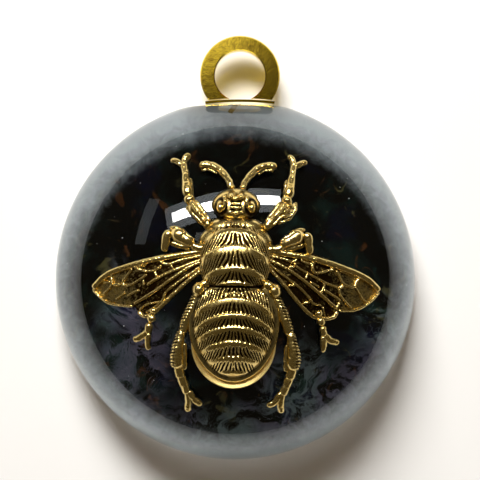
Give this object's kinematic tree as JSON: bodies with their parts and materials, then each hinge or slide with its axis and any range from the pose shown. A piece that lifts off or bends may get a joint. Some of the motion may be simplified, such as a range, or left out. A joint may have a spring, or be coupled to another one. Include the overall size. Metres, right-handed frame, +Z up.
{
  "type": "domed resin ornament with brass bee",
  "caption": "Hanging ornament: clear resin dome over dark marbled paper, a cast brass bee fixed on its front, and a flat brass ring on a saddle plate at the top.",
  "frame": {"origin": "the hang point: the top of the ring's hole, halfway through the ring's thickness", "axes": "+Z up as it hangs, +Y out of the flat back, so that the dome and the bee face -Y, +X to the right seen from the front"},
  "size_m": [0.076, 0.0312, 0.0891],
  "materials": {
    "clear_resin": "clear polished cast resin",
    "marbled_paper": "dark marbled paper, cream on its reverse",
    "antiqued_brass": "cast, rubbed bright on the high places, dark patina in the recesses",
    "polished_brass": "polished, with fine turning lines",
    "pin_brass": "dull"
  },
  "bodies": {
    "root": {"resin_dome": "clear_resin", "marbled_paper": "marbled_paper", "bee": "antiqued_brass", "hanger_ring": "polished_brass", "hanger_plate": "polished_brass", "hanger_pin": "pin_brass"}
  },
  "joints": []
}
